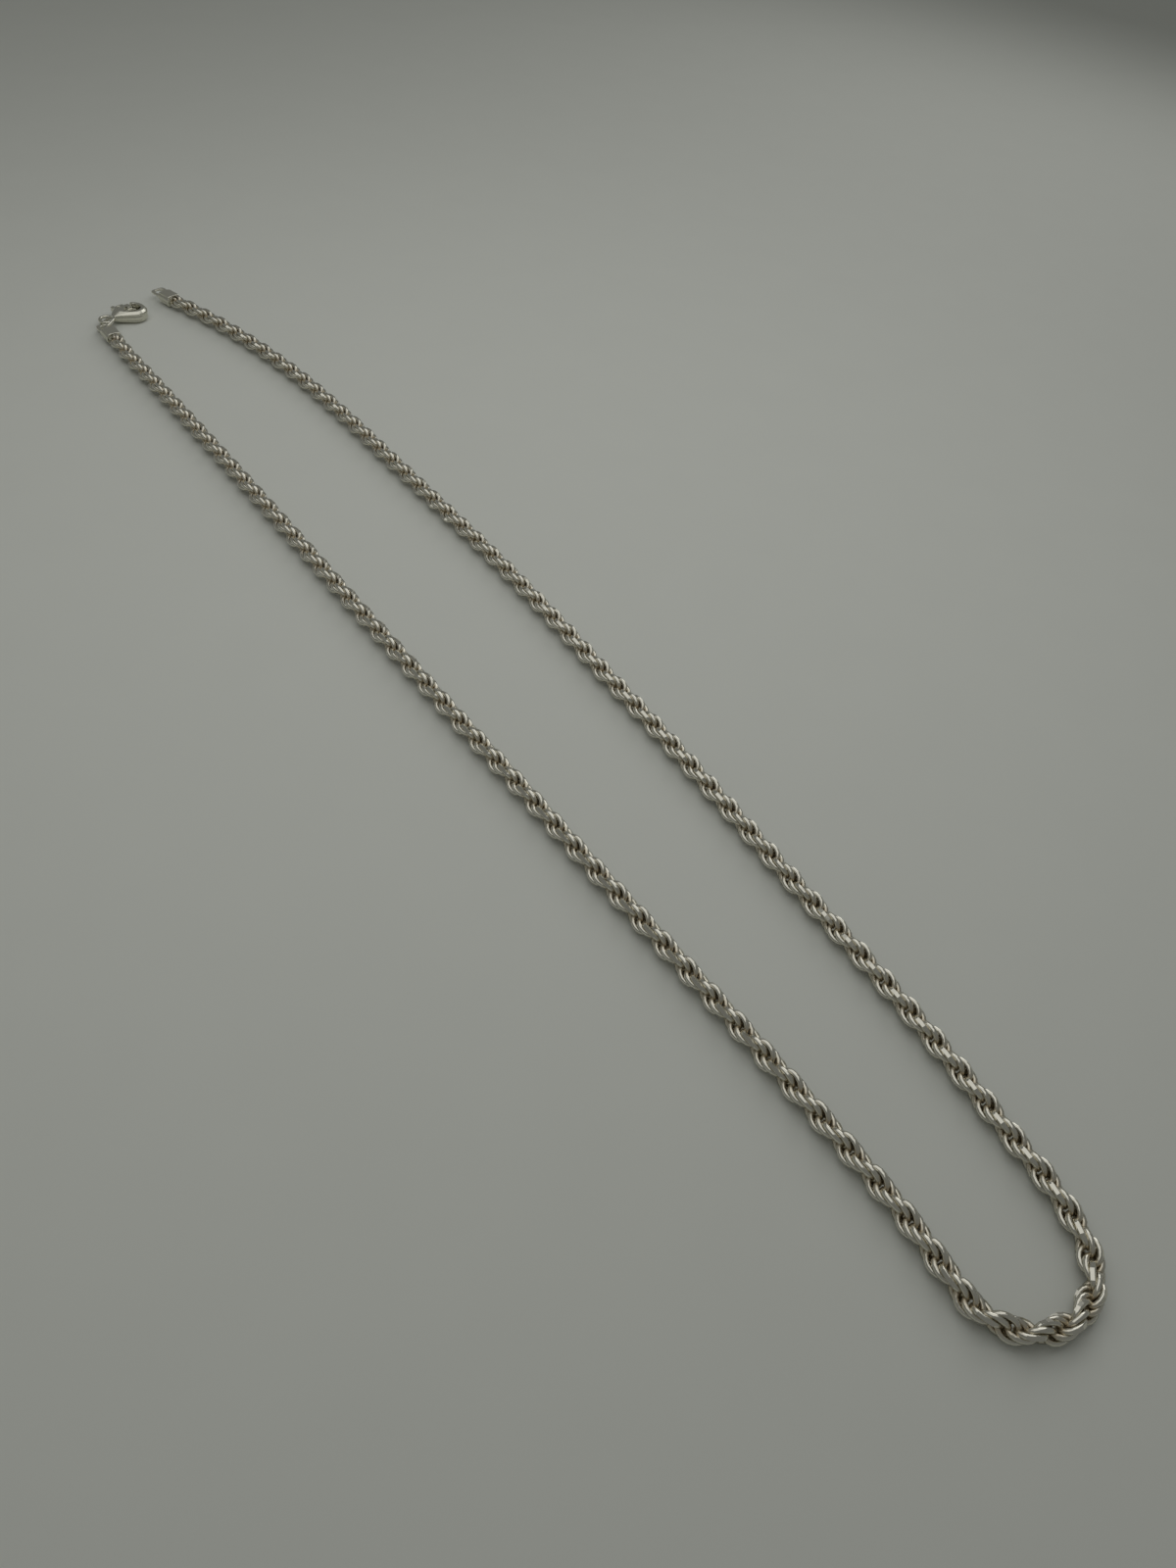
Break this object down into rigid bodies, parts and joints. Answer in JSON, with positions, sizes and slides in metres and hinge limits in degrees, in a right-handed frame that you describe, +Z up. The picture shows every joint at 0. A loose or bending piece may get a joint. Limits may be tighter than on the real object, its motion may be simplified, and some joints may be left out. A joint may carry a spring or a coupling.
{
  "type": "rope chain necklace",
  "caption": "Twisted rope chain with flat end caps, a jump ring and a sprung lobster clasp, unfastened and laid out as a long narrow U.",
  "frame": {"origin": "on the surface under the middle of the laid-out chain's box", "axes": "+Z up, +Y along the two arms from the bend to the clasp, +X from the clasp's arm to the free arm"},
  "size_m": [0.0401, 0.3343, 0.004],
  "materials": {
    "rope": "diamond-cut polished silver",
    "findings": "polished silver",
    "clasp": "polished cast silver"
  },
  "bodies": {
    "chain": {"rope_chain": "rope", "clasp_cap": "findings", "tip_cap": "findings", "jump_ring": "findings", "clasp_body": "clasp"},
    "lever": {"clasp_lever": "clasp"}
  },
  "joints": [
    {"name": "clasp_lever_hinge", "type": "hinge", "parent": "chain", "child": "lever", "pos_m": [-0.01066, 0.15834, 0.00165], "axis": [0, 0, -1], "range_deg": [0, 28], "stiffness_Nm_per_rad": 0.004, "springref_deg": -20.05}
  ]
}
